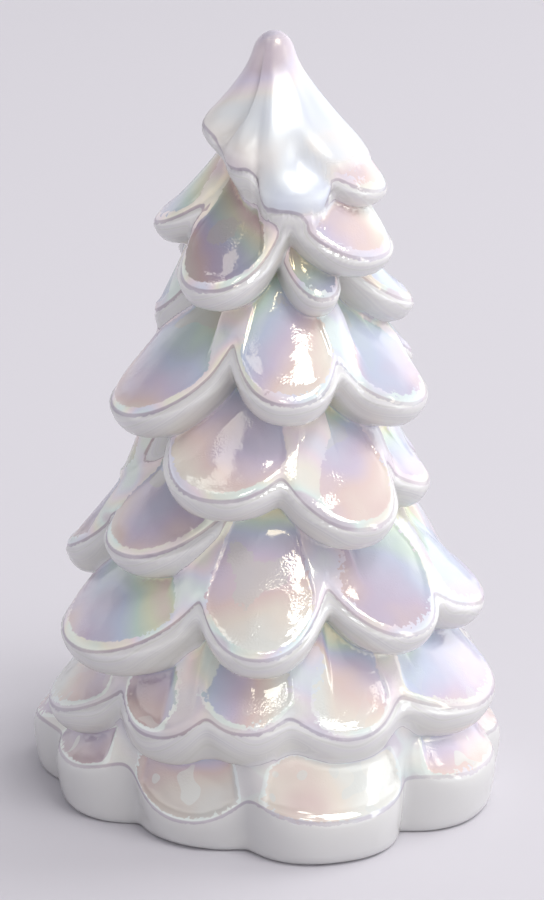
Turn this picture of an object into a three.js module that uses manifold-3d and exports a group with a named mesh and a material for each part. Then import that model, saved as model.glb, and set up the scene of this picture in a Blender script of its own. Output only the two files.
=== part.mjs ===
// Christmas tree figurine of pressed milk glass, one piece with a hollow underside.
// Millimetres, +Z up. The origin is the middle of the outline, on the surface that the tree stands on.
// Azimuth 0 faces -Y, the front, and grows towards +X.
import * as THREE from 'three';
import Module from 'manifold-3d';

// Overall height, from the surface to the rounded tip, and the slim spire below the tip
const TREE_HEIGHT = 165;
const TIP_RADIUS = 3;
const SPIRE_LENGTH = 15;
const SPIRE_RADIUS = 4.2;

// Core: the cone behind the boughs, with a radius for the foot and one just under each tier
const CORE_FOOT_RADIUS = 39;
const CORE_LOW_RADIUS = 35.5;
const CORE_MIDDLE_RADIUS = 28.5;
const CORE_HIGH_RADIUS = 22;
const CORE_UPPER_RADIUS = 15;
const CORE_CROWN_RADIUS = 7.5;
const KNEE_DROP = 9;

// Hollow that the plunger leaves, open at the foot
const GLASS_WALL = 7.5;
const HOLLOW_DEPTH = 112;
const HOLLOW_CAP = 4;
const MOUTH_BEVEL = 1.2;

// Heights of the bough tips of each tier, and the tiers' tip radii
const FOOT_EDGE_HEIGHT = 11;
const FOOT_RADIUS = 50;
const FOOT_BEVEL = 1.5;
const FOOT_EDGE_ROUND = 1.7;
const FOOT_FACET = 14;
const SKIRT_HEIGHT = 25;
const SKIRT_RADIUS = 48;
const LOW_HEIGHT = 44;
const LOW_RADIUS = 46.5;
const MIDDLE_HEIGHT = 69;
const MIDDLE_RADIUS = 38;
const HIGH_HEIGHT = 92;
const HIGH_RADIUS = 35;
const UPPER_HEIGHT = 117;
const UPPER_RADIUS = 27;
const CROWN_DROP = 27;
const CROWN_RADIUS = 18;

// Edge of a bough: height of its rounded rim and how far the rim draws in
const RIM_HEIGHT = 5;
const RIM_DEPTH = 4.5;
const UPPER_RIM = 4;
const CROWN_RIM = 3.5;

// How deep a bough is rooted in the core, and how far its facet ends below the core's surface
const ROOT_DEPTH = 3;
const TUCK = 0.4;

// Curves across a bough, with 1 at its sides: the rising hem and the falling sides of its facet
const BOW = 2.2;
const SAG = 2.6;

// Mesh fineness
const BOUGH_COLUMNS = 10;
const CORE_SEGMENTS = 36;
const RIM_STEPS = [1, 0.82, 0.45];
const FACE_STEPS = [0.3, 0.62, 1];

const wasm = await Module();
wasm.setup();

// Outline of the core from the surface to the spire, as [radius, height]
const coreProfile = [
  [CORE_FOOT_RADIUS, 0],
  [CORE_FOOT_RADIUS, FOOT_EDGE_HEIGHT],
  [CORE_LOW_RADIUS, LOW_HEIGHT - KNEE_DROP],
  [CORE_MIDDLE_RADIUS, MIDDLE_HEIGHT - KNEE_DROP],
  [CORE_HIGH_RADIUS, HIGH_HEIGHT - KNEE_DROP],
  [CORE_UPPER_RADIUS, UPPER_HEIGHT - KNEE_DROP],
  [CORE_CROWN_RADIUS, TREE_HEIGHT - CROWN_DROP],
  [SPIRE_RADIUS, TREE_HEIGHT - SPIRE_LENGTH],
  [TIP_RADIUS, TREE_HEIGHT - TIP_RADIUS],
];

function coreRadius(z) {
  for (let i = 1; i < coreProfile.length; i++) {
    const [r0, z0] = coreProfile[i - 1];
    const [r1, z1] = coreProfile[i];
    if (z <= z1) return r0 + ((r1 - r0) * Math.max(0, z - z0)) / (z1 - z0);
  }
  return TIP_RADIUS;
}

function solidFrom(positions, triangles) {
  return new wasm.Manifold(new wasm.Mesh({
    numProp: 3,
    vertProperties: new Float32Array(positions),
    triVerts: new Uint32Array(triangles),
  }));
}

// Solid of revolution about Z from a profile of [radius, height], bottom to top, both ends on the axis
function turned(profile, segments) {
  const geometry = new THREE.LatheGeometry(profile.map(([r, z]) => new THREE.Vector2(r, z)), segments);
  geometry.rotateX(Math.PI / 2);
  return weld(geometry);
}

function weld(geometry) {
  const source = geometry.attributes.position;
  const keys = new Map();
  const positions = [];
  const slots = [];
  for (let i = 0; i < source.count; i++) {
    const p = [source.getX(i), source.getY(i), source.getZ(i)].map((v) => Math.round(v * 1e5) / 1e5 + 0);
    const key = p.join();
    if (!keys.has(key)) {
      keys.set(key, positions.length / 3);
      positions.push(...p);
    }
    slots.push(keys.get(key));
  }
  const triangles = [];
  for (let i = 0; i < geometry.index.count; i += 3) {
    const t = [0, 1, 2].map((k) => slots[geometry.index.getX(i + k)]);
    if (t[0] !== t[1] && t[1] !== t[2] && t[2] !== t[0]) triangles.push(...t);
  }
  return solidFrom(positions, triangles);
}

// Section of a bough at x, -1 to 1 across its breadth, as [radius, height] points:
// the underside, the rounded rim from its foot up to the hem, and the facet up to the core
function boughSection(b, x) {
  const side = Math.abs(x);
  const hem = b.z + b.rise * side ** BOW;
  const lip = b.lip * (1 + b.wall * side * side);
  const face = (z) => {
    const up = Math.max(z - b.z, 0.6 * (hem - b.z));
    const bend = b.hollow > 0 ? (0.42 * b.slope) / b.hollow : up;
    const near = Math.min(up, bend);
    return (b.r - b.slope * up + b.hollow * near * (2 * up - near)) * (1 - b.dip * side ** SAG);
  };
  const rimFoot = hem - lip;
  const overhang = face(hem) - b.rim;
  const root = Math.min(coreRadius(rimFoot) - ROOT_DEPTH, overhang - 1);
  const points = [[root, rimFoot - (overhang - root) / 6]];
  for (const k of RIM_STEPS) {
    const drop = b.rim * (0.8 * (1 - Math.sqrt(1 - k * k)) + 0.2 * k);
    points.push([face(hem) - drop, hem - k * lip]);
  }
  points.push([face(hem), hem]);
  const top = b.tall ? TREE_HEIGHT - TIP_RADIUS : Math.max(b.z + b.reach, hem + 2);
  for (const k of FACE_STEPS) {
    const z = hem + k * (top - hem);
    points.push([k < 1 ? face(z) : Math.min(face(z), coreRadius(z) - TUCK), z]);
  }
  points.push([Math.min(root, 0.4 * coreRadius(top)), top]);
  return points;
}

// Section of a foot scallop: an upright wall from the surface, then a facet that leans in
function footSection(b, x) {
  const side = Math.abs(x);
  const sag = 1 - b.dip * side ** SAG;
  const edge = b.z + b.rise * Math.min(side, 1.5) ** BOW;
  const top = edge + FOOT_FACET;
  const wall = b.r * sag;
  const facet = (z) => (b.r - b.slope * (z - edge)) * sag;
  return [
    [CORE_FOOT_RADIUS - ROOT_DEPTH, 0],
    [wall - FOOT_BEVEL, 0],
    [wall - 0.3 * FOOT_BEVEL, 0.3 * FOOT_BEVEL],
    [wall, FOOT_BEVEL],
    [wall, edge - FOOT_EDGE_ROUND],
    [wall - 0.2 * FOOT_EDGE_ROUND, edge],
    [facet(edge + FOOT_EDGE_ROUND), edge + FOOT_EDGE_ROUND],
    [facet(top), top],
    [Math.min(CORE_FOOT_RADIUS, facet(top)) - 3 * ROOT_DEPTH, top],
  ];
}

// Closed solid between neighbouring sections
function bough(b) {
  const section = b.foot ? footSection : boughSection;
  const positions = [];
  const triangles = [];
  let count = 0;
  for (let i = 0; i <= BOUGH_COLUMNS; i++) {
    const x = -b.spread + (2 * b.spread * i) / BOUGH_COLUMNS;
    const points = section(b, x);
    count = points.length;
    const angle = THREE.MathUtils.degToRad(b.azimuth + x * b.half);
    for (const [r, z] of points) positions.push(r * Math.sin(angle), -r * Math.cos(angle), z);
  }
  for (let i = 0; i < BOUGH_COLUMNS; i++) {
    for (let j = 0; j < count; j++) {
      const a = i * count + j;
      const c = i * count + ((j + 1) % count);
      triangles.push(a, a + count, c + count, a, c + count, c);
    }
  }
  for (const start of [0, BOUGH_COLUMNS * count]) {
    const middle = positions.length / 3;
    for (const axis of [0, 1, 2]) {
      let sum = 0;
      for (let j = 0; j < count; j++) sum += positions[3 * (start + j) + axis];
      positions.push(sum / count);
    }
    for (let j = 0; j < count; j++) {
      const a = start + j;
      const c = start + ((j + 1) % count);
      if (start === 0) triangles.push(middle, a, c);
      else triangles.push(middle, c, a);
    }
  }
  return solidFrom(positions, triangles);
}

// One row of boughs: azimuth, height and radius against the tier's, half breadth in degrees,
// rise of the hem at the sides, and what differs from the tier
function tier(base, rows) {
  return rows.map(([azimuth, dz, dr, half, rise, own = {}]) => ({
    rim: RIM_DEPTH,
    lip: RIM_HEIGHT,
    wall: 0.5,
    dip: 0.1,
    slope: 1,
    hollow: 0,
    reach: 26,
    spread: 1.3,
    ...base,
    azimuth,
    half,
    rise,
    z: base.height + dz,
    r: base.radius + dr,
    ...own,
  }));
}

const foot = { height: FOOT_EDGE_HEIGHT, radius: FOOT_RADIUS, foot: true, dip: 0.14, slope: 0.9 };
const skirt = { height: SKIRT_HEIGHT, radius: SKIRT_RADIUS };
const low = { height: LOW_HEIGHT, radius: LOW_RADIUS };
const middle = { height: MIDDLE_HEIGHT, radius: MIDDLE_RADIUS };
const high = { height: HIGH_HEIGHT, radius: HIGH_RADIUS };
const upper = {
  height: UPPER_HEIGHT,
  radius: UPPER_RADIUS,
  rim: UPPER_RIM,
  lip: UPPER_RIM,
  slope: 1.15,
  hollow: 0.014,
  reach: 28,
};
const crown = {
  height: TREE_HEIGHT - CROWN_DROP,
  radius: CROWN_RADIUS,
  rim: CROWN_RIM,
  lip: CROWN_RIM,
  dip: 0.12,
  slope: 1.35,
  hollow: 0.037,
  tall: true,
};
const steep = { slope: 0.8 };
const tongue = { dip: 0.1, slope: 1.1, hollow: 0.022, lip: CROWN_RIM + 1.5 };
const apron = { dip: 0.09, slope: 1.04, hollow: 0.0155, lip: CROWN_RIM + 2.5, rim: CROWN_RIM + 1 };

const boughs = [
  ...tier(foot, [
    [-98, 0, 3.5, 22, 4],
    [-61, 2.5, 1, 18, 3, { dip: 0.12 }],
    [-24, -5, -7, 18, 7, { dip: 0.08, slope: 0.35 }],
    [17, -1.5, -0.5, 23, 3, { slope: 0.6 }],
    [60, 0.5, 1.5, 22, 2],
    [99, 0, 0.5, 20, 3],
    [139, 0, 0, 20, 3],
    [180, 0, 0, 20, 3],
    [221, 0, 0.5, 20, 3],
  ]),
  ...tier(skirt, [
    [-76, -2, 0.5, 33, 11],
    [-32, -1, -4, 12.5, 9, { dip: 0.05, slope: 0.55, lip: RIM_HEIGHT + 1.5, rim: RIM_DEPTH - 1 }],
    [-8, 3, -2, 16, 6, { dip: 0.04, slope: 0.75, lip: RIM_HEIGHT + 3 }],
    [22, 1, -2, 17, 5, { dip: 0.05, slope: 0.75, lip: RIM_HEIGHT + 1.5 }],
    [72, 0, 1.8, 35, 8, { lip: RIM_HEIGHT + 1 }],
    [118, 0, 1, 23, 9],
    [158, 0, 1, 23, 9],
    [198, 0, 1, 23, 9],
    [240, 0, 1, 23, 9],
  ]),
  ...tier(low, [
    [-62, -2.7, 0.5, 36, 13, { wall: 1.2 }],
    [-4, 0.3, -0.5, 20, 11, { dip: 0.09, slope: 0.82 }],
    [41, 2, -0.5, 28, 14, { dip: 0.12 }],
    [87, -1, 0, 33, 10],
    [138, 1, 0, 26, 10, steep],
    [182, 1, 0, 26, 10, steep],
    [222, 1, 0, 26, 10, steep],
    [251, 2.3, 1, 26, 9, steep],
  ]),
  ...tier(middle, [
    [-56, -9.5, 2.5, 34, 10, { dip: 0.14 }],
    [-20, 6, 0.5, 30, 8, { dip: 0.08 }],
    [29, 0, 3, 24, 9, { dip: 0.11 }],
    [80, 1, -3.5, 26, 8],
    [128, -1, -1, 28, 9, steep],
    [173, -1, -1, 28, 9, steep],
    [218, -1, -1, 28, 9, steep],
    [255, -1, -3.5, 26, 8, steep],
  ]),
  ...tier(high, [
    [-60, -1.8, 1, 38, 14, { dip: 0.13 }],
    [6, 2.9, 1, 25, 9],
    [62, -1.5, 0.5, 32, 10, { dip: 0.12 }],
    [112, 2, -3, 28, 9, steep],
    [160, 2, -3, 28, 9, steep],
    [206, 2, -3, 28, 9, steep],
    [248, 6, -8, 28, 7, steep],
  ]),
  ...tier(upper, [
    [-86, 9.5, -2.7, 32, 6],
    [-28, 0, 1.3, 29, 8, { dip: 0.09, slope: 1.1, lip: UPPER_RIM + 0.5 }],
    [45, 4.5, 0, 33, 7, { dip: 0.09, slope: 1.1 }],
    [24, -3, 0, 17, 6, { slope: 1.1 }],
    [92, -10, 1.8, 28, 7],
    [140, -1, -1, 28, 7],
    [182, -1, -1, 28, 7],
    [226, -1, -1, 28, 7],
  ]),
  ...tier(crown, [
    [-87, 10.3, -3.7, 36, 5],
    [96, 5.5, 0.6, 36, 5, { slope: 1.4 }],
    [84, -3, 4.3, 28, 5, { slope: 1.42, hollow: 0.03 }],
    [-32, 0.5, -1.4, 20, 3, tongue],
    [14, -7.5, 2.3, 30, 5, apron],
    [54, -1, 0.2, 20, 3, tongue],
    [146, 4, -1.5, 28, 4],
    [190, 4, -1.5, 28, 4],
    [234, 4, -1.5, 28, 4],
  ]),
];

// The core's outline, closed on the axis at the surface and over the rounded tip
const core = turned([
  [0, 0],
  ...coreProfile,
  [0.7 * TIP_RADIUS, TREE_HEIGHT - 0.3 * TIP_RADIUS],
  [0, TREE_HEIGHT],
], CORE_SEGMENTS);

// The hollow keeps one wall inside the core all the way up
const hollow = turned([
  [0, -1],
  [CORE_FOOT_RADIUS - GLASS_WALL + MOUTH_BEVEL, -1],
  [CORE_FOOT_RADIUS - GLASS_WALL + MOUTH_BEVEL, 0],
  [CORE_FOOT_RADIUS - GLASS_WALL, MOUTH_BEVEL],
  ...coreProfile.slice(1).filter(([, z]) => z < HOLLOW_DEPTH).map(([r, z]) => [r - GLASS_WALL, z]),
  [coreRadius(HOLLOW_DEPTH) - GLASS_WALL, HOLLOW_DEPTH],
  [0, HOLLOW_DEPTH + HOLLOW_CAP],
], CORE_SEGMENTS);

let glass = core;
for (const b of boughs) glass = glass.add(bough(b));
glass = glass.subtract(hollow);

const { vertProperties, triVerts } = glass.getMesh();
const geometry = new THREE.BufferGeometry();
geometry.setAttribute('position', new THREE.BufferAttribute(new Float32Array(vertProperties), 3));
geometry.setIndex(new THREE.BufferAttribute(new Uint32Array(triVerts), 1));

// The scallops differ in reach, so the tree's axis lies a little beside the middle of its outline
geometry.computeBoundingBox();
const middleOfOutline = geometry.boundingBox.getCenter(new THREE.Vector3());
geometry.translate(-middleOfOutline.x, -middleOfOutline.y, 0);

const treeBody = new THREE.Mesh(
  geometry,
  new THREE.MeshStandardMaterial({ color: 0xeeebf0, roughness: 0.12, metalness: 0 }),
);
treeBody.name = 'tree_body';

const tree = new THREE.Group();
tree.add(treeBody);
export default tree;
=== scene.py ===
# %% [markdown]
# # A pressed milk-glass Christmas tree with an iridescent film
#
# The real figurine is one piece of opal glass, pressed in a mould and sprayed while hot with a metal
# oxide. The spray leaves a clear film, thinner than a wavelength of light, that turns white glass pearly.
# This lesson builds that one piece as a surface worked out with numpy, then gives it a glass material, a
# pale floor and soft studio light.

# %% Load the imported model, which fixes place and size
import math

import bpy
import numpy as np
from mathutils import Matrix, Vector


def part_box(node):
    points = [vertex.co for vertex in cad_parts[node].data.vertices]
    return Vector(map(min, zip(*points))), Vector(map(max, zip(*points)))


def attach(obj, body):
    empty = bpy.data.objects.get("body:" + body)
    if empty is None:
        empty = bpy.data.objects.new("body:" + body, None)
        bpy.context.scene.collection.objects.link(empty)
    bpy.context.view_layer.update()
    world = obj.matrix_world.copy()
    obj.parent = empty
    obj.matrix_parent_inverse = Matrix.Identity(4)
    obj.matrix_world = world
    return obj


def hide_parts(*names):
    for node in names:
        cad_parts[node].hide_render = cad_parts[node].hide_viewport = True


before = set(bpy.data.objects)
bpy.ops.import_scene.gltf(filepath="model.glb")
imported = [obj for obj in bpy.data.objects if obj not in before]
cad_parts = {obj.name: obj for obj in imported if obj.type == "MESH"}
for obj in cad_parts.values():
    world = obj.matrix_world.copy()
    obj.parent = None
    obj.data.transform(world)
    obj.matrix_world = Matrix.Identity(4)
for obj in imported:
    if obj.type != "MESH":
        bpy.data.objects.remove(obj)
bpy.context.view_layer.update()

MM = 0.001
low_corner, high_corner = (np.array(corner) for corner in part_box("tree_body"))
TREE_HEIGHT = (high_corner[2] - low_corner[2]) / MM

cad_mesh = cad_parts["tree_body"].data
cad_points = np.empty(3 * len(cad_mesh.vertices))
cad_mesh.vertices.foreach_get("co", cad_points)
cad_points = cad_points.reshape(-1, 3)
trunk_axis = cad_points[np.argmax(cad_points[:, 2]), :2]
print("height", round(TREE_HEIGHT, 2), "mm, trunk axis at", (trunk_axis / MM).round(2), "mm")

# %% [markdown]
# ## Camera
#
# The photograph looks down on the tree by about 17 degrees from arm's length with a long lens, so the
# tiers overlap and the foot's scallops show their tops. The camera comes first, because every later
# choice is judged through it.

# %% Camera at the photograph's angle
CAMERA_PITCH = math.radians(17.5)
CAMERA_DISTANCE = 0.650
CAMERA_AIM_HEIGHT = 0.0752
FOCAL_PIXELS = 3056
IMAGE_WIDTH, IMAGE_HEIGHT = 544, 900
TRUNK_PIXEL = 274
SENSOR = 36.0

camera_data = bpy.data.cameras.new("camera")
camera_data.sensor_width = SENSOR
camera_data.lens = SENSOR * FOCAL_PIXELS / IMAGE_HEIGHT
camera_data.shift_x = -(TRUNK_PIXEL - IMAGE_WIDTH / 2) / IMAGE_HEIGHT
camera_data.clip_start = 0.01
camera = bpy.data.objects.new("camera", camera_data)
camera.location = (
    trunk_axis[0],
    trunk_axis[1] - CAMERA_DISTANCE * math.cos(CAMERA_PITCH),
    CAMERA_AIM_HEIGHT + CAMERA_DISTANCE * math.sin(CAMERA_PITCH),
)
camera.rotation_euler = (math.pi / 2 - CAMERA_PITCH, 0, 0)
bpy.context.scene.collection.objects.link(camera)
bpy.context.scene.camera = camera
print("camera:", round(camera_data.lens, 1), "mm lens,", CAMERA_DISTANCE, "m away")

# %% [markdown]
# ## The boughs as numbers
#
# Each bough is a tongue of glass: a facet that leans in towards the trunk, an edge where the film ends,
# and a plain rounded rim that curls under. A table holds one row per bough, tier by tier: azimuth in
# degrees (0 faces the camera), height and reach against the tier's own, half breadth in degrees, how far
# the hem climbs at the sides, and anything that sets the bough apart. Lengths are in millimetres.
#
# A bough marked apart isn't blended with its neighbours along the hem, so it overlaps them. The film
# values give each facet its own place in the rainbow, as the photograph shows it. Boughs that it doesn't
# show get a start from the golden ratio, which keeps neighbours from repeating.

# %% Table of boughs
BOUGH_DEFAULTS = {
    "rim": 4.5, "lip": 5.0, "wall": 0.5, "dip": 0.10, "slope": 1.0, "hollow": 0.0, "reach": 26.0,
    "dish": 0.6, "border": 2.1, "panel": 0.88, "peak": 20.0,
    "film": 100.0, "spread": 5.0, "drift": 0.0, "tone": 0.0,
}
STEEP = {"slope": 0.8}


def film(start, spread, drift, tone=0.0):
    """Film in nanometres at the hem, its gain per mm up and per half breadth right, and its tone."""
    return {"film": start, "spread": spread, "drift": drift, "tone": tone}


def tier(height, radius, rows, **own):
    """Rows of one tier as dictionaries, with the tier's own values over the defaults."""
    return [
        {**BOUGH_DEFAULTS, **own, "azimuth": azimuth, "height": height + up, "radius": radius + out,
         "half": half, "rise": rise, **(extra[0] if extra else {})}
        for azimuth, up, out, half, rise, *extra in rows
    ]


foot = tier(11, 50, [
    (-104, 1, 4.3, 20, 4, film(108, 3, 0, 0.3)),
    (-71, 0, -1.2, 19.5, 3, {"dip": 0.12, **film(118, 1, -8, 0.5)}),
    (-27, -5, -6.3, 20, 7, {"dip": 0.08, "slope": 0.35, **film(100, -2.2, -6, 0.4)}),
    (17, -1.5, -0.5, 23, 3, {"slope": 0.6, **film(72, 1.2, -12)}),
    (66, 0.5, 0.4, 22, 2, film(96, 6, 20)),
    (99, 0, 0.5, 20, 3),
    (139, 0, 0, 20, 3),
    (180, 0, 0, 20, 3),
    (221, 0, 0.5, 20, 3),
], foot=True, dip=0.14, slope=0.9, border=1.0, dish=0.8, peak=14)
skirt = tier(25, 48, [
    (-80, -4, 2.3, 27, 9, film(72, 3, 34)),
    (-36, -1, -3.2, 18.5, 8, {
        "dip": 0.04, "slope": 0.55, "lip": 6.5, "rim": 3.5, "dish": 1.5, "border": 2.2, "panel": 0.72,
        "peak": 30, **film(90, 2.5, 8, 0.6)}),
    (-8, 3, -2, 16, 6, {"dip": 0.04, "slope": 0.75, "lip": 8, **film(104, 2, -60)}),
    (22, 1, -2, 17, 5, {"dip": 0.05, "slope": 0.75, "lip": 6.5, **film(82, 1.4, 10)}),
    (72, 0, 1.8, 35, 8, {"lip": 6, **film(112, 3, 12)}),
    (118, 0, 1, 23, 9),
    (158, 0, 1, 23, 9),
    (198, 0, 1, 23, 9),
    (240, 0, 1, 23, 9),
])
low = tier(44, 46.5, [
    (-63, -5, 2.4, 36, 12.5, {"wall": 1.2, **film(112, 3.4, 34, 0.08)}),
    (-4.5, 0.3, -0.5, 22, 11, {"dip": 0.09, "slope": 0.82, **film(70, 3.2, -14)}),
    (41, 2, -0.5, 28, 16, {"dip": 0.12, **film(122, 1.8, 16, 0.4)}),
    (87, -1, 0, 33, 10, film(114, 3, 10)),
    (138, 1, 0, 26, 10, STEEP),
    (182, 1, 0, 26, 10, STEEP),
    (222, 1, 0, 26, 10, STEEP),
    (252, 6, 1.2, 24, 8, {**STEEP, "apart": True, **film(104, 2, 0, 0.5)}),
])
middle = tier(69, 38, [
    (-56, -9.5, 2.5, 34, 10, {"dip": 0.14, "apart": True, **film(84, 3.6, 26, 0.2)}),
    (-20, 6, 0.5, 30, 8, {"dip": 0.08, **film(88, 2.6, 12)}),
    (29, 0, 3, 24, 9, {"dip": 0.11, **film(84, 3, -14, 0.05)}),
    (80, 1, -3.5, 26, 8, film(112, 4, 10)),
    (128, -1, -1, 28, 9, STEEP),
    (173, -1, -1, 28, 9, STEEP),
    (218, -1, -1, 28, 9, STEEP),
    (256, -2, -3.6, 25, 8, {"slope": 0.4, "apart": True, **film(150, 4, 0, 0.3)}),
])
high = tier(92, 35, [
    (-61, -3.4, 2.8, 38, 14, {"dip": 0.13, **film(88, 4.0, 24, 0.15)}),
    (6, 2.9, 1, 25, 9, film(94, 2, -40)),
    (62, -1.5, 0.5, 32, 10, {"dip": 0.12, **film(120, 2, -10, 0.2)}),
    (112, 2, -3, 28, 9, STEEP),
    (160, 2, -3, 28, 9, STEEP),
    (206, 2, -3, 28, 9, STEEP),
    (252, 12, -8.2, 28, 5, {"slope": 0.5, "lip": 6.5, "apart": True}),
])
upper = tier(117, 27, [
    (-88, 8.2, -0.9, 31, 6, {"apart": True, **film(118, 5, 0, 0.2)}),
    (-31, -1, 2.6, 30, 8, {"dip": 0.09, "slope": 1.1, "lip": 4.5, **film(88, 5.6, 44, 0.9)}),
    (49, 4.5, 2.4, 33, 7, {"dip": 0.09, "slope": 1.1, **film(90, 1.0, -46)}),
    (24, -3, 0, 17, 6, {"slope": 1.1, "apart": True, **film(128, 5, -14, 0.6)}),
    (92, -9, 3.4, 28, 7, {"apart": True, **film(124, 4, 10)}),
    (140, -1, -1, 28, 7),
    (182, -1, -1, 28, 7),
    (226, -1, -1, 28, 7),
], rim=4, lip=4, slope=1.15, hollow=0.014, reach=28, peak=19)
crown = tier(138, 18, [
    (67, -4.5, 7.4, 33, 6, {"apart": True}),
], rim=3.5, lip=3.2, reach=12, dish=0.0)

THINNEST_FILM = 84
FILM_RANGE = 34
GOLDEN_RATIO = 0.618
boughs = foot + skirt + low + middle + high + upper + crown
for number, bough in enumerate(boughs):
    if bough["film"] == BOUGH_DEFAULTS["film"]:
        bough["film"] = THINNEST_FILM + FILM_RANGE * (number * GOLDEN_RATIO % 1)
print(len(boughs), "boughs in 7 tiers, and the hood")

# %% [markdown]
# ## The glass surface
#
# Pressed glass has no undercut round the trunk, so its whole outside can be read as one distance from the
# trunk's axis for each azimuth and height. Every bough offers such a distance, the core offers one more,
# and the glass is the outermost of them. A plain maximum would leave knife-sharp valleys, and hot glass
# never has those, so the maximum is a soft one that rounds them by under a millimetre.

# %% Steps and extremes without corners
def wrapped(degrees):
    """Degrees brought between -180 and 180."""
    return (degrees + 180) % 360 - 180


def smooth_step(value):
    """0 below 0, 1 above 1, and an S curve between them."""
    t = np.clip(value, 0, 1)
    return t * t * (3 - 2 * t)


def soft_extreme(values, rounding):
    """Soft maximum of arrays, s log(sum of exp(v / s)), and each array's weight in it."""
    ranked = np.array(values) / rounding
    top = ranked.max(axis=0)
    weights = np.exp(ranked - top)
    total = weights.sum(axis=0)
    return rounding * (top + np.log(total)), weights / total


# %% One bough's facet
HEM_POWER = 2.2
SAG_POWER = 2.6
SAG_FADE = 16.0
SAG_LOST = 0.7
REACH_ROUND = 2.3
HEM_FOLLOW = 0.6
BEND_SHARE = 0.42
FOOT_CORNER = 1.2
FOOT_TAPER = 1.6
FOOT_TAPER_POWER = 1.5
PAST_REACH_SLOPE = 0.7
SIDE_END = 1.6
SIDE_SLOPE = 30.0
LEAF_NARROWING = 0.18
LEAF_END = 1.2
PANEL_BREADTH = 0.8
PANEL_ROUND = 0.5
DISH_EDGE = 0.9
FILM_CLIMB = 20.0
INSET_LIMIT = 3.0


def facet(b, turn, height, hem):
    """Distance of one bough's facet from the trunk, inset into its panel, and thickness of its film.

    The facet falls inwards from the hem at a steady slope, less a quadratic hollow. A foot scallop has
    a soft corner there instead. Each sags with the 2.6th power of the place across, and less higher up.
    Inset is how far a point lies inside the dished panel, which narrows upwards as a leaf does: the soft
    minimum of its distances from the hem and from the sides.
    """
    side = np.abs(turn)
    reach = np.minimum(side, REACH_ROUND)
    up = height - b["height"]
    if "foot" in b:
        above = height - hem
        fall = FOOT_CORNER * np.logaddexp(0, b["slope"] * above / FOOT_CORNER)
        fall = fall + FOOT_TAPER * np.clip(-above / b["height"], 0, 1) ** FOOT_TAPER_POWER
    else:
        climb = np.maximum(up, HEM_FOLLOW * (hem - b["height"]))
        bend = BEND_SHARE * b["slope"] / max(b["hollow"], 1e-6)
        near = np.minimum(climb, bend)
        fall = b["slope"] * climb - b["hollow"] * near * (2 * climb - near)
    sag = 1 - b["dip"] * reach ** SAG_POWER * (1 - SAG_LOST * smooth_step(up / SAG_FADE))
    past = PAST_REACH_SLOPE * np.maximum(0, up - b["reach"]) + SIDE_SLOPE * np.maximum(0, side - SIDE_END)
    from_hem = up - b["rise"] * reach ** HEM_POWER - b["border"]
    leaf = b["panel"] * (1 - LEAF_NARROWING * np.clip(up / b["peak"], 0, LEAF_END) ** 2)
    from_side = (leaf - side) * np.radians(b["half"]) * PANEL_BREADTH * b["radius"]
    inset = -PANEL_ROUND * np.logaddexp(-from_hem / PANEL_ROUND, -from_side / PANEL_ROUND)
    dished = b["dish"] * smooth_step(inset / DISH_EDGE)
    across = np.clip(turn, -LEAF_END, LEAF_END)
    thickness = b["film"] + b["spread"] * np.clip(up, 0, FILM_CLIMB) + b["drift"] * across
    distance = (b["radius"] - fall) * sag - past - dished
    return distance, np.clip(inset, -INSET_LIMIT, INSET_LIMIT), thickness


# %% One row's distance from the trunk
EDGE_SHARE = 0.2
ROLL_DEPTH = 0.9
ROLL_HEIGHT = 4.0
GROOVE_DEPTH = 0.25
GROOVE_WIDTH = 0.45
NOTCH_ROUND = 1.3
VALLEY_ROUND = 1.25
UNDERSIDE_SLOPE = 6.0


def tucked(under):
    """How far a rim draws in: 0 at the hem and 1 at its foot, mostly along a quarter ellipse."""
    return (1 - EDGE_SHARE) * (1 - np.sqrt(1 - under ** 2)) + EDGE_SHARE * under


def row_distance(members, azimuth, height):
    """Distance of a row of joined boughs from the trunk, and height above the hem, inset, film and tone.

    Each hem climbs with the 2.2th power of the place across its bough, and the row's hem is their soft
    minimum, so it arches over the notches. The row's face is the soft maximum of the facets. It rolls
    over near the hem, a groove marks the hem, and the rim tucks under it.
    """
    turns = [wrapped(azimuth - b["azimuth"]) / b["half"] for b in members]
    sides = [np.minimum(np.abs(turn), REACH_ROUND) for turn in turns]
    hems = [b["height"] + b["rise"] * side ** HEM_POWER for b, side in zip(members, sides)]
    hem, weights = soft_extreme([-h for h in hems], NOTCH_ROUND)
    hem = -hem
    above = height - hem
    faces, insets, films = zip(*(facet(b, turn, height, hem) for b, turn in zip(members, turns)))
    face, shares = soft_extreme(faces, VALLEY_ROUND)
    inset = sum(w * i for w, i in zip(shares, insets))
    thickness = sum(w * f for w, f in zip(shares, films))
    tone = sum(w * b["tone"] for w, b in zip(shares, members))
    if "foot" in members[0]:
        return face, above, inset, thickness, tone
    lip, wall, rim = (sum(w * b[key] for w, b in zip(weights, members)) for key in ("lip", "wall", "rim"))
    side = sum(w * s for w, s in zip(weights, sides))
    lip = lip * (1 + wall * side ** 2)
    drop = rim * tucked(np.clip(-above / lip, 0, 1))
    roll = ROLL_DEPTH * np.clip(1 - above / ROLL_HEIGHT, 0, 1) ** 2
    groove = GROOVE_DEPTH * np.exp(-((above / GROOVE_WIDTH) ** 2))
    underside = UNDERSIDE_SLOPE * np.maximum(0, -above - lip)
    return face - roll - drop - groove - underside, above, inset, thickness, tone


# %% [markdown]
# ## The hood
#
# The crown isn't a ring of tongues. One soft cloth of glass hangs from the tip: its hem runs through the
# points below, a crease parts its front from a hollow wing on the left, and swellings and dents shape the
# rest. Each of those is a bell-shaped rise or fall at one azimuth and height.

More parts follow.
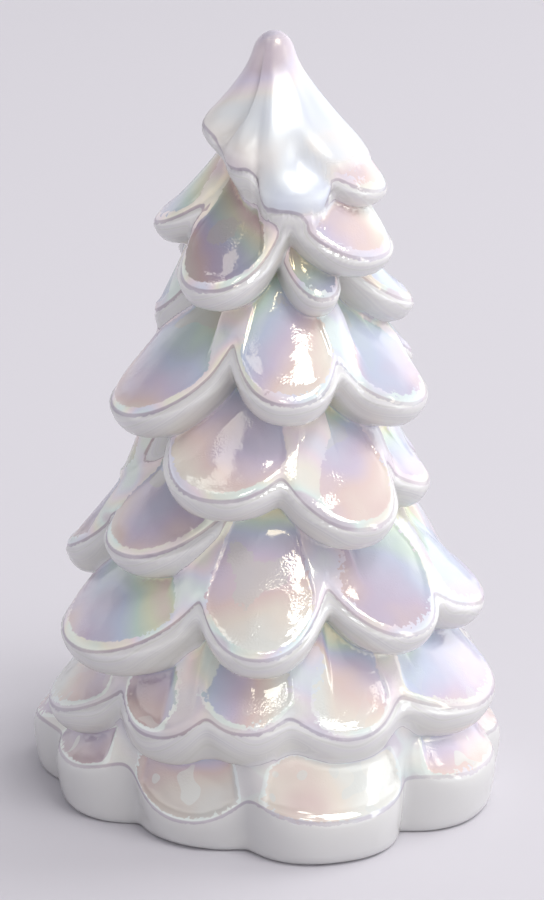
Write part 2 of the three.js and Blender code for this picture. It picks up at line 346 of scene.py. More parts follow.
# %% Points that the hood runs through
# Azimuth, height and distance from the trunk along the hem
HOOD_HEM = [
    (-180, 141.0, 17.0), (-157, 143.5, 15.5), (-134, 141.5, 17.0), (-110, 145.5, 15.0), (-84, 146.0, 15.5),
    (-62, 144.6, 15.6), (-48, 141.2, 14.6), (-38, 139.4, 15.8), (-27, 138.9, 17.0), (-17, 138.6, 17.0),
    (-12, 136.6, 16.8), (-8, 133.0, 18.4), (0, 131.7, 20.0), (9, 131.2, 20.6), (22, 130.6, 20.9),
    (29, 131.6, 20.7), (36, 134.6, 19.8), (45, 136.8, 19.3), (56, 138.8, 19.8), (72, 140.0, 20.7),
    (90, 140.4, 20.1), (112, 143.6, 17.0), (136, 141.5, 17.5), (158, 143.5, 16.0),
]
# Height and usual distance from the trunk
HOOD_PROFILE = [
    (128, 21.4), (131, 20.6), (134, 19.4), (138, 17.8), (142, 16.0), (146, 13.6), (150, 10.8), (154, 7.9),
    (158, 5.4), (162, 3.9), (165, 3.3),
]
# Azimuth and height where the rim ends
HOOD_FOOT = [
    (-180, 136.5), (-134, 137), (-100, 141.5), (-62, 140.6), (-46, 137.5), (-30, 133.6), (-12, 128.8),
    (6, 126.4), (24, 126.2), (40, 129.6), (56, 133.4), (76, 136.4), (112, 138.5), (146, 137.0),
]
# Azimuth, height, rise, breadth in degrees and breadth in height
HOOD_LUMPS = [
    (-26, 143.2, 1.4, 12, 3.6), (16, 134.8, 1.3, 18, 2.6), (45, 141.2, 1.6, 12, 3.8),
    (19, 141.4, -1.3, 10, 3.4), (-10, 138.0, -0.9, 5, 2.4), (33, 152.0, 0.6, 12, 5.0),
    (-4, 149.0, 0.8, 11, 6.0), (76, 147.0, -0.9, 12, 4.5), (-115, 149.0, -0.8, 12, 5.0),
    (158, 147.0, -1.0, 12, 5.0), (-157, 147.0, -1.0, 12, 5.0), (112, 148.0, -0.8, 10, 5.0),
    (-70, 148.6, 0.8, 16, 2.2),
]
# Height and azimuth along the crease
CREASE = [
    (139, -54), (141.6, -50), (143.8, -41), (147, -33), (151, -27), (155, -25), (159, -28), (165, -20),
]
print("hood:", len(HOOD_HEM), "points along the hem,", len(HOOD_LUMPS), "swellings and dents")

# %% The hood's distance from the trunk
HEM_FADE = 5.0
WING_DEPTH = 2.0
WING_BREADTH = 30.0
WING_STEP = 0.1
WING_FLOOR = 0.2
WING_HEIGHTS = (143, 146, 156, 162)
WING_FULL_RADIUS = 12.0
HOOD_RIM = 4.0
HOOD_ROLL = 0.8
HOOD_ROLL_HEIGHT = 2.4
SHORTEST_LIP = 2.0


def through(points, places, period=None):
    """Smooth curve through points, in cubic pieces whose slope at a point comes from its neighbours.

    Where there is a period, the places wrap round.
    """
    xs, ys = np.array(points, float).T
    if period:
        xs = np.concatenate([xs - period, xs, xs + period])
        ys = np.tile(ys, 3)
    slopes = np.gradient(ys, xs)
    at = np.clip(np.searchsorted(xs, places) - 1, 0, len(xs) - 2)
    step = xs[at + 1] - xs[at]
    t = np.clip((places - xs[at]) / step, 0, 1)
    return (
        (2 * t ** 3 - 3 * t ** 2 + 1) * ys[at] + (t ** 3 - 2 * t ** 2 + t) * step * slopes[at]
        + (3 * t ** 2 - 2 * t ** 3) * ys[at + 1] + (t ** 3 - t ** 2) * step * slopes[at + 1]
    )


def wing_hollow(azimuth, height):
    """1 in the hollow wing left of the crease, 0 elsewhere, with soft steps between."""
    behind = -wrapped(azimuth - through(CREASE, height)) / WING_BREADTH
    start, whole, waning, end = WING_HEIGHTS
    fade = smooth_step((height - start) / (whole - start)) * smooth_step((end - height) / (end - waning))
    rising_again = smooth_step((behind - WING_FLOOR) / (1 - WING_FLOOR))
    return smooth_step(behind / WING_STEP) * (1 - rising_again) * fade


def hood_distance(azimuth, height):
    """Distance of the hood from the trunk, and height above its hem.

    The usual profile is drawn out to the hem's own distance, which fades upwards. Lumps are added, and
    the wing is taken away. The rim rolls and tucks under as a bough's does.
    """
    turn = wrapped(azimuth)
    hem = through([(a, z) for a, z, r in HOOD_HEM], turn, 360)
    hem_radius = through([(a, r) for a, z, r in HOOD_HEM], turn, 360)
    above = height - hem
    gap = hem_radius - through(HOOD_PROFILE, hem)
    face = through(HOOD_PROFILE, height) + gap * np.exp(-np.maximum(above, 0) / HEM_FADE)
    for lump_azimuth, lump_height, rise, breadth, tall in HOOD_LUMPS:
        across = wrapped(azimuth - lump_azimuth) / breadth
        face = face + rise * np.exp(-across ** 2 - ((height - lump_height) / tall) ** 2)
    face = face - WING_DEPTH * wing_hollow(azimuth, height) * np.clip(face / WING_FULL_RADIUS, 0, 1)
    lip = np.maximum(hem - through(HOOD_FOOT, turn, 360), SHORTEST_LIP)
    hem_face = np.where(above < 0, hem_radius, face)
    roll = HOOD_ROLL * np.clip(1 - np.abs(above) / HOOD_ROLL_HEIGHT, 0, 1) ** 2
    drop = HOOD_RIM * tucked(np.clip(-above / lip, 0, 1))
    return hem_face - roll - drop - UNDERSIDE_SLOPE * np.maximum(0, -above - lip), above


# %% The whole tree's distance from the trunk
CORE_HEIGHTS = [0, 12, 22, 36, 60, 84, 108, 125, 138, 150, 162, 165]
CORE_RADII = [39, 39, 38.5, 35.5, 28.5, 22, 15, 11.5, 7.5, 4.2, 3.0, 3.0]
JOIN_HEIGHTS = [0, 122, 134, 165]
JOIN_ROUND = [0.7, 0.7, 0.6, 0.4]
CORE_FILM = 180.0
CORE_READ = (3.0, 3.0, CORE_FILM, 0.0, 0.0)
HEM_LIMITS = (-7, 16)
TIP_ROUND = 3.5
FOOT_ROUND = 2.0
FOOT_TUCK = 0.9
HOOD_BORDER = 2.0
HOOD_FILM = 82.0
HOOD_FILM_TURN, HOOD_FILM_AZIMUTH = 10.0, -85
TIP_FILM = 22.0
TIP_FILM_TURN, TIP_FILM_AZIMUTH = 14.0, 8
TIP_FILM_FROM, TIP_FILM_CLIMB = 150.0, 12.0

rows_of_boughs = []
for members in (foot, skirt, low, middle, high, upper, crown):
    together = [b for b in members if not b.get("apart")]
    rows_of_boughs += [together] if together else []
    rows_of_boughs += [[b] for b in members if b.get("apart")]


def hood_film(azimuth, height):
    """Film of the hood in nanometres: a little thicker on the left, and much thicker at the tip."""
    tip = TIP_FILM + TIP_FILM_TURN * np.cos(np.radians(azimuth - TIP_FILM_AZIMUTH))
    left = HOOD_FILM_TURN * np.cos(np.radians(azimuth - HOOD_FILM_AZIMUTH))
    return HOOD_FILM + tip * smooth_step((height - TIP_FILM_FROM) / TIP_FILM_CLIMB) + left


def glass_surface(azimuth, height):
    """Distance from the trunk on a grid of azimuths and heights, and what the material reads there.

    Every row of boughs, the hood and the core offer a distance, and their soft maximum is the glass. The
    same weights blend height above the hem and inset into the panel in millimetres, the film's thickness
    in nanometres, its tone, and satin, which is 1 on the hood and 0 on the glossy tongues.
    """
    softness = np.interp(height, JOIN_HEIGHTS, JOIN_ROUND)
    total = np.interp(height, CORE_HEIGHTS, CORE_RADII) / softness
    read = [np.full_like(total, value) for value in CORE_READ]
    offers = [(*row_distance(members, azimuth, height), 0.0) for members in rows_of_boughs]
    distance, above = hood_distance(azimuth, height)
    offers.append((distance, above, above - HOOD_BORDER, hood_film(azimuth, height), 0.0, 1.0))
    for distance, above, inset, thickness, tone, satin in offers:
        ranked = distance / softness
        joined = np.logaddexp(total, ranked)
        keep, take = np.exp(total - joined), np.exp(ranked - joined)
        inset = np.clip(inset, -INSET_LIMIT, INSET_LIMIT)
        offered = (np.clip(above, *HEM_LIMITS), inset, thickness, tone, satin)
        read = [old * keep + new * take for old, new in zip(read, offered)]
        total = joined
    distance = total * softness
    foot_turn = np.clip(1 - height / FOOT_ROUND, 0, 1)
    distance = distance - FOOT_ROUND * (1 - np.sqrt(1 - FOOT_TUCK * foot_turn ** 2))
    tip_turn = np.clip((height - (TREE_HEIGHT - TIP_ROUND)) / TIP_ROUND, 0, 1)
    distance = distance * np.sqrt(np.maximum(1 - tip_turn ** 2, 0))
    return distance, *read


# %% [markdown]
# ## Rows where the form turns
#
# A plain grid wastes its rows on the calm facets and starves the rims. So each column is first measured
# on a fine ladder of heights, then gets its rows where the profile is long or turns sharply. Neighbouring
# columns agree closely, so the rows follow the hems by themselves.

# %% Spread the rows by length and turning
COLUMNS = 540
ROWS = 172
LADDER = 1300
TURN_WEIGHT = 1.5
COLUMN_GAP = 2.0


def spread_rows(azimuths):
    """Heights for each column, with equal shares of length plus TURN_WEIGHT times the turning angle.

    Each column's climb from 0 to 1 is moved on by its own multiple of COLUMN_GAP, so that one
    interpolation over all of them finds every height.
    """
    ladder = np.linspace(0, TREE_HEIGHT, LADDER)
    distance = glass_surface(*np.meshgrid(azimuths, ladder))[0]
    d_out, d_up = np.diff(distance, axis=0), np.diff(ladder)[:, None]
    share = np.hypot(d_out, d_up)
    turning = np.abs(np.diff(np.unwrap(np.arctan2(d_out, d_up), axis=0), axis=0))
    share[1:] += TURN_WEIGHT * turning
    share = (np.roll(share, 1, 1) + 2 * share + np.roll(share, -1, 1)) / 4
    climbed = np.vstack([np.zeros(len(azimuths)), np.cumsum(share, axis=0)])
    climbed /= climbed[-1]
    offsets = COLUMN_GAP * np.arange(len(azimuths))
    wanted = np.linspace(0, 1, ROWS)[:, None] + offsets
    flat_from = (climbed + offsets).T.ravel()
    flat_to = np.tile(ladder, len(azimuths))
    heights = np.interp(wanted.T.ravel(), flat_from, flat_to).reshape(len(azimuths), ROWS).T
    heights[0], heights[-1] = 0, TREE_HEIGHT
    return heights


azimuths = np.linspace(-180, 180, COLUMNS, endpoint=False)
heights = spread_rows(azimuths)
surface = glass_surface(np.broadcast_to(azimuths, heights.shape), heights)
distance, hem, inset, thickness, tone, satin = surface
print("outside:", COLUMNS, "columns by", ROWS, "rows")

# %% Join the outside, the flat foot and the hollow
HOLLOW_RADII = [32.7, 31.5, 31.5, 28, 21, 14.5, 7.5, 6.5]
HOLLOW_HEIGHTS = [0, 1.2, 11, 35, 60, 83, 108, 112]
HOLLOW_TOP = 116.0


def closed_rows(distance, heights, azimuths):
    """Rings of points from the hollow's top down, out over the foot and up the outside to the tip."""
    angle = np.radians(azimuths)
    inner_shape = (len(HOLLOW_RADII), len(azimuths))
    inner_radii = np.broadcast_to(np.array(HOLLOW_RADII[::-1])[:, None], inner_shape)
    inner_levels = np.broadcast_to(np.array(HOLLOW_HEIGHTS[::-1])[:, None], inner_shape)
    radii = np.vstack([inner_radii, distance[:-1]])
    levels = np.vstack([inner_levels, heights[:-1]])
    return np.stack([radii * np.sin(angle), -radii * np.cos(angle), levels], -1)


def ring_mesh(name, rings, bottom, top):
    """Mesh of quads between neighbouring rings, with a fan of triangles to one point at each end."""
    rows, columns = rings.shape[:2]
    points = np.vstack([rings.reshape(-1, 3), bottom, top])
    index = np.arange(rows * columns).reshape(rows, columns)
    after = np.roll(index, -1, 1)
    quads = np.stack([index[:-1], after[:-1], after[1:], index[1:]], -1).reshape(-1, 4)
    first, last = rows * columns, rows * columns + 1
    fan_low = np.stack([after[0], index[0], np.full(columns, first)], -1)
    fan_high = np.stack([index[-1], after[-1], np.full(columns, last)], -1)
    corners = np.concatenate([quads.ravel(), fan_low.ravel(), fan_high.ravel()])
    starts = np.concatenate([4 * np.arange(len(quads)), 4 * len(quads) + 3 * np.arange(2 * columns)])
    mesh = bpy.data.meshes.new(name)
    mesh.vertices.add(len(points))
    mesh.vertices.foreach_set("co", points.astype(np.float32).ravel())
    mesh.loops.add(len(corners))
    mesh.loops.foreach_set("vertex_index", corners.astype(np.int32))
    mesh.polygons.add(len(starts))
    mesh.polygons.foreach_set("loop_start", starts.astype(np.int32))
    mesh.update(calc_edges=True)
    mesh.validate()
    mesh.polygons.foreach_set("use_smooth", np.ones(len(starts), bool))
    return mesh


rings = closed_rows(distance, heights, azimuths)
rings = rings * MM + np.array([*trunk_axis, low_corner[2]])
bottom = np.array([*trunk_axis, low_corner[2] + HOLLOW_TOP * MM])
top = np.array([*trunk_axis, high_corner[2]])
glass_mesh = ring_mesh("tree_glass", rings, bottom, top)
tree_glass = bpy.data.objects.new("tree_glass", glass_mesh)
bpy.context.scene.collection.objects.link(tree_glass)
print("tree_glass:", len(glass_mesh.polygons), "faces")

# %% Store what the material reads
# Waves per millimetre along X, Y and Z, and phase, of the slow swirl in the film's thickness
SWIRL_WAVES = ((0.21, 0.05, 0.13, 0.4), (-0.09, 0.17, 0.19, 2.1), (0.05, -0.22, 0.11, 4.0))
SWIRL_FILM = 4.0


def point_values(mesh, name, outside, inside):
    """Stores one number per vertex: the outside's grid, and one value for the hollow and its end."""
    inner = np.full(len(HOLLOW_RADII) * COLUMNS, float(inside))
    values = np.concatenate([inner, outside[:-1].ravel(), [float(inside), outside[-1, 0]]])
    mesh.attributes.new(name, "FLOAT", "POINT").data.foreach_set("value", values.astype(np.float32))


point_values(glass_mesh, "hem", hem, HEM_LIMITS[0])
point_values(glass_mesh, "inset", inset, -INSET_LIMIT)
point_values(glass_mesh, "satin", satin, 0)
point_values(glass_mesh, "tone", tone, 0)
angle = np.radians(azimuths)
swirl = sum(
    np.sin(distance * (x * np.sin(angle) - y * np.cos(angle)) + z * heights + phase)
    for x, y, z, phase in SWIRL_WAVES
)
point_values(glass_mesh, "thickness", thickness + SWIRL_FILM * swirl, CORE_FILM)

# %% [markdown]
# ## Opal glass and its film
#
# Opal glass is milky because light scatters just below its surface, so both shaders have some subsurface
# light. Above each hem lies the film, whose colour turns with its thickness, as oil on water does. A thin
# film in the shader gives the gleam, and colour ramps over the stored thickness give the rainbow that the
# photograph shows: dark bands in the dished panels, pale ones on the border round them, painted lighter
# there as the reflection along the roll. The film tears where glass cooled unevenly, so noise frays its
# edges. Under the hem the glass is bare and faintly streaked. Shade is painted as well: warm deep under
# the rim, and as a dark line along the hem.

# %% Shader nodes in short
opal_glass = bpy.data.materials.new("opal_glass")
opal_glass.use_nodes = True
nodes, links = opal_glass.node_tree.nodes, opal_glass.node_tree.links
nodes.remove(nodes["Principled BSDF"])


def node(kind, **settings):
    """New node in the glass material, with its settings."""
    made = nodes.new(kind)
    for key, value in settings.items():
        setattr(made, key, value)
    return made


def attribute(name):
    """Number that the mesh stores under a name."""
    return node("ShaderNodeAttribute", attribute_name=name).outputs["Fac"]


def calc(operation, first, second=0.0, third=0.0, clamp=False):
    """Result of a Math node, whose operands are numbers or other nodes' outputs."""
    made = node("ShaderNodeMath", operation=operation, use_clamp=clamp)
    for socket, value in zip(made.inputs, (first, second, third)):
        if isinstance(value, (int, float)):
            socket.default_value = value
        else:
            links.new(value, socket)
    return made.outputs[0]


def share_between(value, start, end, clamp=True):
    """0 where the value is at its start and 1 at its end, and even between them."""
    return calc("MULTIPLY_ADD", value, 1 / (end - start), -start / (end - start), clamp=clamp)


def from_to(share, low, high):
    """Low where the share is 0 and high where it is 1."""
    return calc("MULTIPLY_ADD", share, high - low, low)


def edge_mask(value, softness):
    """0 below zero and 1 above it, over a width in the value's own units."""
    return share_between(value, -softness / 2, softness / 2)


place = node("ShaderNodeTexCoord").outputs["Object"]
axes = node("ShaderNodeSeparateXYZ")
links.new(place, axes.inputs[0])


def noise(scale, detail=2.0):
    """Smooth noise between 0 and 1 over the object's own coordinates; scale counts waves per metre."""
    made = node("ShaderNodeTexNoise")
    made.inputs["Scale"].default_value = scale
    made.inputs["Detail"].default_value = detail
    links.new(place, made.inputs["Vector"])
    return made.outputs["Fac"]


def ramp_of(value, stops):
    """Colour ramp over a value, with stops given as place and colour."""
    made = node("ShaderNodeValToRGB")
    band = made.color_ramp
    while len(band.elements) < len(stops):
        band.elements.new(0.5)
    for element, (position, colour) in zip(band.elements, stops):
        element.position = position
    for element, (position, colour) in zip(band.elements, stops):
        element.color = (*colour, 1)
    links.new(value, made.inputs[0])
    return made.outputs[0]


def mixed_colour(share, first, second, blend_type="MIX"):
    """First colour, with a share of the second one in it."""
    made = node("ShaderNodeMix", data_type="RGBA", blend_type=blend_type)
    links.new(share, made.inputs[0])
    for socket, value in zip((made.inputs[6], made.inputs[7]), (first, second)):
        if isinstance(value, tuple):
            socket.default_value = (*value, 1)
        else:
            links.new(value, socket)
    return made.outputs[2]


# %% Bare glass and filmed glass
GLASS_IOR = 1.5
MILKINESS = 0.3
MILK_DEPTH = 0.003
MILK_TINT = (1.0, 0.95, 0.9)
BARE_ROUGHNESS = 0.07
BARE_FILM, BARE_FILM_IOR = 72, 1.75
GLOSSY_ROUGHNESS, SATIN_ROUGHNESS = 0.045, 0.335
FILM_IOR = 1.85
GLEAM_START, GLEAM_PER_FILM = 51.0, 0.3


def glass(name, film_ior):
    """Opal glass with a thin film on it."""
    shader = node("ShaderNodeBsdfPrincipled", name=name)
    shader.inputs["IOR"].default_value = GLASS_IOR
    shader.inputs["Subsurface Weight"].default_value = MILKINESS
    shader.inputs["Subsurface Radius"].default_value = MILK_TINT
    shader.inputs["Subsurface Scale"].default_value = MILK_DEPTH
    shader.inputs["Thin Film IOR"].default_value = film_ior
    return shader


bare = glass("bare", BARE_FILM_IOR)
bare.inputs["Roughness"].default_value = BARE_ROUGHNESS
bare.inputs["Thin Film Thickness"].default_value = BARE_FILM

filmed = glass("filmed", FILM_IOR)
roughness = from_to(attribute("satin"), GLOSSY_ROUGHNESS, SATIN_ROUGHNESS)
links.new(roughness, filmed.inputs["Roughness"])
gleam = calc("MULTIPLY_ADD", attribute("thickness"), GLEAM_PER_FILM, GLEAM_START)
links.new(gleam, filmed.inputs["Thin Film Thickness"])

# %% Where the film lies, frays and catches the window
PANEL_EDGE, FILM_EDGE = 0.2, 0.25
sunny = share_between(axes.outputs["X"], -0.015, 0.035)
low_down = share_between(axes.outputs["Z"], 0.036, 0.016)
torn = share_between(noise(70, 1), 0.475, 0.5375)
spikes = calc("MULTIPLY", calc("SUBTRACT", noise(900), 0.5), from_to(torn, 0.9, 4.3))
ragged = calc("ADD", spikes, from_to(noise(62, 1), -0.9, 0.9))
in_panel = edge_mask(calc("ADD", attribute("inset"), ragged), PANEL_EDGE)
cover = edge_mask(calc("MULTIPLY_ADD", ragged, 0.3, attribute("hem")), FILM_EDGE)

# %% Colours of the panels: a rainbow over the film's thickness, greyer in patches high up, fewer by the window
HUE_START, HUE_END = 76.0, 190.0
HUE_WANDER = 0.5
PANEL_RAINBOW = (
    (0.00, (0.71, 0.71, 0.67)), (0.12, (0.73, 0.66, 0.59)), (0.25, (0.69, 0.55, 0.53)),
    (0.40, (0.58, 0.51, 0.64)), (0.58, (0.51, 0.57, 0.72)), (0.74, (0.53, 0.67, 0.62)),
    (0.87, (0.66, 0.70, 0.55)), (1.00, (0.72, 0.57, 0.59)),
)
GREY_PATCH_COLOUR = (0.60, 0.60, 0.575)
DARK_TONE = (0.55, 0.50, 0.54)
hue = share_between(attribute("thickness"), HUE_START, HUE_END, clamp=False)
hue = calc("MULTIPLY_ADD", calc("SUBTRACT", noise(60), 0.5), HUE_WANDER, hue)
panel_colour = ramp_of(hue, PANEL_RAINBOW)
grey_patch = calc("ADD", calc("MULTIPLY_ADD", noise(75, 1), 26.0, -28.5), attribute("hem"))
grey_patch = edge_mask(calc("ADD", grey_patch, ragged), 0.5)
grey_patch = calc("MULTIPLY", grey_patch, from_to(sunny, 0.75, 0.15))
panel_colour = mixed_colour(grey_patch, panel_colour, GREY_PATCH_COLOUR)
panel_colour = mixed_colour(attribute("tone"), panel_colour, DARK_TONE, "MULTIPLY")

# %% Colours of the borders round them, paler towards the window
# The borders' pale film colours are painted lighter, as the reflection along the roll above the hem.
BORDER_RAINBOW_AND_SHEEN = (
    (0.30, (0.54, 0.49, 0.57)), (0.33, (0.63, 0.765, 0.72)), (0.42, (0.775, 0.75, 0.62)),
    (0.50, (0.78, 0.64, 0.70)), (0.58, (0.64, 0.65, 0.79)), (0.66, (0.63, 0.765, 0.75)),
)
SUNLIT_BORDER = (0.56, 0.55, 0.62)
border_hue = calc("MULTIPLY_ADD", low_down, -0.13, noise(68, 1))
border_colour = ramp_of(border_hue, BORDER_RAINBOW_AND_SHEEN)
far_up = calc("MULTIPLY", share_between(attribute("hem"), 2.4, 4.4), 0.2)
border_colour = mixed_colour(far_up, border_colour, panel_colour)
border_colour = mixed_colour(calc("MULTIPLY", sunny, 0.42), border_colour, SUNLIT_BORDER)

# %% On the foot and skirt: a pale ring round each panel, a mauve band outside it, and blotches within
MAUVE_BAND, PLAIN_BAND = (0.50, 0.45, 0.53), (0.62, 0.61, 0.59)
MINT_GLINT_RING = (0.72, 0.79, 0.76)
BLOTCH_COLOUR = (0.66, 0.68, 0.66)
SHADE_LIFT = (0.86, 0.86, 0.86)
near_foot = share_between(axes.outputs["Z"], 0.022, 0.0195)
outer_colour = mixed_colour(near_foot, MAUVE_BAND, PLAIN_BAND)
# Painted glint: a pale mint ring just inside each panel's edge.
in_glint_ring = edge_mask(calc("ADD", calc("MULTIPLY_ADD", ragged, 0.5, 0.8), attribute("inset")), 0.25)
outer_colour = mixed_colour(in_glint_ring, outer_colour, MINT_GLINT_RING)
lowest = calc("MULTIPLY_ADD", axes.outputs["Z"], -110.0, 4.3, clamp=True)
# Ring and band fade towards the window, so the painted glint and the darker mauve, as painted shade, stay
# on the shaded side.
outer_share = calc("MULTIPLY", lowest, from_to(sunny, 0.85, 0.25))
border_colour = mixed_colour(outer_share, border_colour, outer_colour)
blotch = calc("MULTIPLY", edge_mask(calc("SUBTRACT", noise(230, 0), 0.66), 0.015), low_down)
panel_colour = mixed_colour(calc("MULTIPLY", blotch, 0.7), panel_colour, BLOTCH_COLOUR)
# Painted light: the borders are lightened on the shaded side, away from the window.
border_colour = mixed_colour(from_to(sunny, 0.25, 0.0), border_colour, SHADE_LIFT)
film_colour_and_shading = mixed_colour(in_panel, border_colour, panel_colour)

# %% Colours of the hood
HOOD_HUE_START, HOOD_HUE_END = 80.0, 140.0
HOOD_HUE_WANDER = 0.55
HOOD_RAINBOW = (
    (0.12, (0.62, 0.67, 0.77)), (0.28, (0.69, 0.72, 0.74)), (0.40, (0.76, 0.72, 0.68)),
    (0.54, (0.74, 0.65, 0.69)), (0.70, (0.62, 0.56, 0.69)), (0.90, (0.54, 0.45, 0.53)),
)
SUNLIT_HOOD = (0.59, 0.58, 0.65)
hood_hue = share_between(attribute("thickness"), HOOD_HUE_START, HOOD_HUE_END, clamp=False)
hood_hue = calc("MULTIPLY_ADD", noise(75, 1), HOOD_HUE_WANDER, hood_hue)
hood_colour = ramp_of(hood_hue, HOOD_RAINBOW)
hood_colour = mixed_colour(calc("MULTIPLY", sunny, 0.6), hood_colour, SUNLIT_HOOD)
film_colour_and_shading = mixed_colour(attribute("satin"), film_colour_and_shading, hood_colour)

# %% Painted shade: a dark line in the groove where the film ends, stronger away from the window
HEM_SHADE_HEIGHT, HEM_SHADE_HALF = 0.25, 0.5
HEM_SHADE_COLOUR = (0.39, 0.34, 0.41)
from_shade_line = calc("ABSOLUTE", calc("SUBTRACT", attribute("hem"), HEM_SHADE_HEIGHT))
hem_shade_line = edge_mask(calc("SUBTRACT", HEM_SHADE_HALF, from_shade_line), 0.25)
hem_shade_line = calc("MULTIPLY", hem_shade_line, from_to(sunny, 0.905, 0.58))
film_colour_and_shading = mixed_colour(hem_shade_line, film_colour_and_shading, HEM_SHADE_COLOUR)
links.new(film_colour_and_shading, filmed.inputs["Base Color"])

# %% Ripples, and fine pitting in patches
RIPPLE = 0.30
PIT_CALM, PIT_ROUGH = 0.008, 0.053
relief = node("ShaderNodeBump")
relief.inputs["Strength"].default_value = 1.0
relief.inputs["Distance"].default_value = MM
pitting = from_to(edge_mask(calc("SUBTRACT", noise(150, 1), 0.55), 0.12), PIT_CALM, PIT_ROUGH)
relief_height = calc("MULTIPLY_ADD", noise(2200, 1), pitting, calc("MULTIPLY", noise(140, 1), RIPPLE))
glossy = from_to(attribute("satin"), 1.0, 0.2)
links.new(calc("MULTIPLY", relief_height, glossy), relief.inputs["Height"])
links.new(relief.outputs[0], filmed.inputs["Normal"])

# %% Bare glass: streaks along the rim, painted warm shade deep under it, plain at the foot
STREAKS = (
    (0.30, (0.60, 0.59, 0.57)), (0.42, (0.67, 0.66, 0.64)), (0.52, (0.64, 0.62, 0.63)),
    (0.60, (0.70, 0.69, 0.67)), (0.72, (0.59, 0.575, 0.59)),
)
WARM_UNDERSIDE_SHADE = (0.60, 0.585, 0.53)
FOOT_WALL = (0.62, 0.61, 0.60)
streak = node("ShaderNodeTexNoise", noise_dimensions="1D")
streak.inputs["Scale"].default_value = 1.0
streak.inputs["Detail"].default_value = 1.0
streak_place = calc("MULTIPLY_ADD", noise(45, 1), 8.0, calc("MULTIPLY", attribute("hem"), 0.7))
links.new(streak_place, streak.inputs["W"])
bare_colour_and_shading = ramp_of(streak.outputs["Fac"], STREAKS)
# Painted shade: warmer and a little darker deep under the rim.
under_rim_shade = calc("MULTIPLY", share_between(attribute("hem"), -2.35, -4.85), 0.6)
bare_colour_and_shading = mixed_colour(under_rim_shade, bare_colour_and_shading, WARM_UNDERSIDE_SHADE)
above_foot = share_between(axes.outputs["Z"], 0.0136, 0.0176)
bare_colour_and_shading = mixed_colour(above_foot, FOOT_WALL, bare_colour_and_shading)
links.new(bare_colour_and_shading, bare.inputs["Base Color"])

# %% Put the two glasses together
mixed = node("ShaderNodeMixShader")
links.new(cover, mixed.inputs[0])
links.new(bare.outputs[0], mixed.inputs[1])
links.new(filmed.outputs[0], mixed.inputs[2])
links.new(mixed.outputs[0], nodes["Material Output"].inputs["Surface"])
glass_mesh.materials.append(opal_glass)
print("opal_glass:", len(nodes), "nodes")

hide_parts("tree_body")
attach(tree_glass, "root")

# %% [markdown]
# ## Floor and light
#
# The highlights tell where the windows were. Each bright spot on a facet of known tilt points back at
# its lamp, and most point at one large window, high on the right. A broad wall of light, on the right
# and a little behind the tree, fills that side and lets the tree darken the floor on the left. It is
# hidden from reflections, so that the facets keep smooth colours. The surroundings are pale near the
# horizon and dim overhead, most of all on the left.

# %% Floor
FLOOR_REACH = 3.0
FLOOR_COLOUR = (0.63, 0.612, 0.655)
FLOOR_ROUGHNESS = 0.6
floor_corners = [(x * FLOOR_REACH, y * FLOOR_REACH, 0) for x, y in ((-1, -1), (1, -1), (1, 1), (-1, 1))]
floor_mesh = bpy.data.meshes.new("floor")
floor_mesh.from_pydata(floor_corners, [], [(0, 1, 2, 3)])
floor = bpy.data.objects.new("floor", floor_mesh)
bpy.context.scene.collection.objects.link(floor)
floor_material = bpy.data.materials.new("floor")
floor_material.use_nodes = True
floor_shader = floor_material.node_tree.nodes["Principled BSDF"]
floor_shader.inputs["Base Color"].default_value = (*FLOOR_COLOUR, 1)
floor_shader.inputs["Roughness"].default_value = FLOOR_ROUGHNESS
floor_mesh.materials.append(floor_material)
print("floor:", 2 * FLOOR_REACH, "m square")

# %% Lights
LAMP_DISTANCE = 4.0
LAMP_AIM_HEIGHT = 0.08
WARM_WHITE, COOL_WHITE = (1.0, 0.99, 0.98), (0.97, 0.98, 1.0)


def softbox(name, azimuth, elevation, width, height, radiance, colour=(1, 1, 1)):
    """Area light facing the tree from a sphere round it; width and height are angles in degrees."""
    a, e = math.radians(azimuth), math.radians(elevation)
    data = bpy.data.lights.new(name, "AREA")
    data.shape = "RECTANGLE"
    data.size = 2 * LAMP_DISTANCE * math.tan(math.radians(width) / 2)
    data.size_y = 2 * LAMP_DISTANCE * math.tan(math.radians(height) / 2)
    data.energy = radiance * math.pi * data.size * data.size_y
    data.color = colour
    lamp = bpy.data.objects.new(name, data)
    out = np.array([math.sin(a) * math.cos(e), -math.cos(a) * math.cos(e), math.sin(e)])
    lamp.location = np.array([*trunk_axis, LAMP_AIM_HEIGHT]) + LAMP_DISTANCE * out
    lamp.rotation_euler = (math.pi / 2 - e, 0, a)
    lamp.visible_camera = False
    bpy.context.scene.collection.objects.link(lamp)
    return lamp


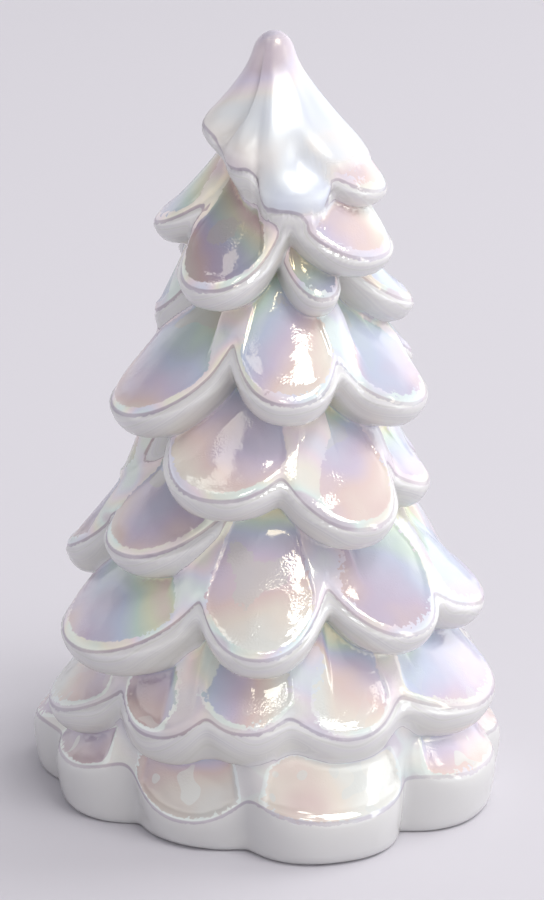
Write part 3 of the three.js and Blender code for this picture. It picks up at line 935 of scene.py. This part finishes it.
softbox("window_right", 44, 61, 21, 18, 9.4, WARM_WHITE)
softbox("window_side", 70, 20, 10, 30, 2.1)
softbox("window_left", -78, 64, 26, 10, 1.4, COOL_WHITE)
window_front = softbox("window_front", 3, 47, 14, 8, 3.0)
window_front.data.shape = "ELLIPSE"
wall_right = softbox("wall_right", 114, 38, 36, 26, 4.2)
wall_right.visible_glossy = False
print("lamps:", len(bpy.data.lights))

# %% Surroundings: a pale backdrop, and a ceiling that is dim on the left and brighter on the right
WORLD_STRENGTH = 1.82
world = bpy.data.worlds.new("studio")
bpy.context.scene.world = world
world.use_nodes = True
room, wires = world.node_tree.nodes, world.node_tree.links
direction = room.new("ShaderNodeTexCoord")
split = room.new("ShaderNodeSeparateXYZ")
wires.new(direction.outputs["Generated"], split.inputs[0])


def room_ramp(socket, first, first_colour, last, last_colour):
    """Colour that goes from one value to another between two places on a direction's axis."""
    made = room.new("ShaderNodeValToRGB")
    start, end = made.color_ramp.elements
    start.position, start.color = first, (*first_colour, 1)
    end.position, end.color = last, (*last_colour, 1)
    wires.new(socket, made.inputs[0])
    return made.outputs[0]


left_to_right = room.new("ShaderNodeMath")
left_to_right.operation = "MULTIPLY_ADD"
left_to_right.inputs[1].default_value = left_to_right.inputs[2].default_value = 0.5
wires.new(split.outputs["X"], left_to_right.inputs[0])
sideways = left_to_right.outputs[0]
ceiling = room_ramp(sideways, 0.36, (0.16, 0.158, 0.166), 0.72, (0.39, 0.385, 0.39))
backdrop = room_ramp(sideways, 0.45, (0.50, 0.49, 0.515), 0.8, (0.84, 0.835, 0.85))
overhead = room_ramp(split.outputs["Z"], 0.30, (0, 0, 0), 0.50, (1, 1, 1))
blend = room.new("ShaderNodeMix")
blend.data_type = "RGBA"
wires.new(overhead, blend.inputs[0])
wires.new(backdrop, blend.inputs[6])
wires.new(ceiling, blend.inputs[7])
background = room["Background"]
wires.new(blend.outputs[2], background.inputs["Color"])
background.inputs["Strength"].default_value = WORLD_STRENGTH
bpy.context.scene.view_settings.view_transform = "Standard"
